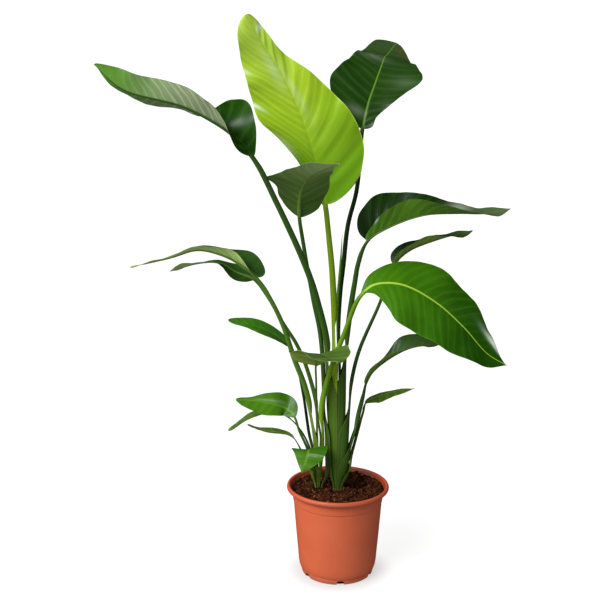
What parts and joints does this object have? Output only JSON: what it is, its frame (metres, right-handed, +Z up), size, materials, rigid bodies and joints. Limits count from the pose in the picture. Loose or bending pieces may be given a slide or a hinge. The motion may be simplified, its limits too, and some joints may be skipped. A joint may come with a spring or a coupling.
{
  "type": "potted bird of paradise plant",
  "caption": "Potted bird of paradise: long-stalked broad leaves in flat fans that grow from soil in a round plastic nursery pot.",
  "frame": {"origin": "centre of the pot's base plate, on the floor it stands on", "axes": "+Z up along the pot's axis; -Y towards the camera of the picture, so +X is to the right in the picture"},
  "size_m": [0.8837, 0.4491, 1.2841],
  "materials": {
    "pot_plastic": "satin terracotta-coloured plastic",
    "soil": "loose dark peat and coconut fibre",
    "leaf_lime": "young lime-green leaf, semi-gloss",
    "leaf_bright": "bright green leaf, glossy",
    "leaf_middle": "green leaf, semi-gloss",
    "leaf_dark": "dark green leaf, glossy",
    "leaf_olive": "olive green leaf, satin"
  },
  "bodies": {
    "root": {"pot": "pot_plastic", "soil": "soil", "new_leaf": "leaf_bright", "old_sheath": "leaf_olive", "leaf_upper_left": "leaf_dark", "leaf_top_lime": "leaf_lime", "leaf_centre_front": "leaf_dark", "leaf_upper_right": "leaf_dark", "leaf_right_arching": "leaf_middle", "leaf_right_narrow": "leaf_middle", "leaf_right_broad": "leaf_bright", "leaf_right_low": "leaf_middle", "leaf_right_lowest": "leaf_olive", "leaf_left_long": "leaf_middle", "leaf_left_under": "leaf_middle", "leaf_left_short": "leaf_dark", "leaf_centre_low": "leaf_olive", "leaf_low_left": "leaf_bright", "leaf_low_strip": "leaf_olive", "leaf_low_wavy": "leaf_olive", "leaf_front_drooping": "leaf_bright"}
  },
  "joints": []
}
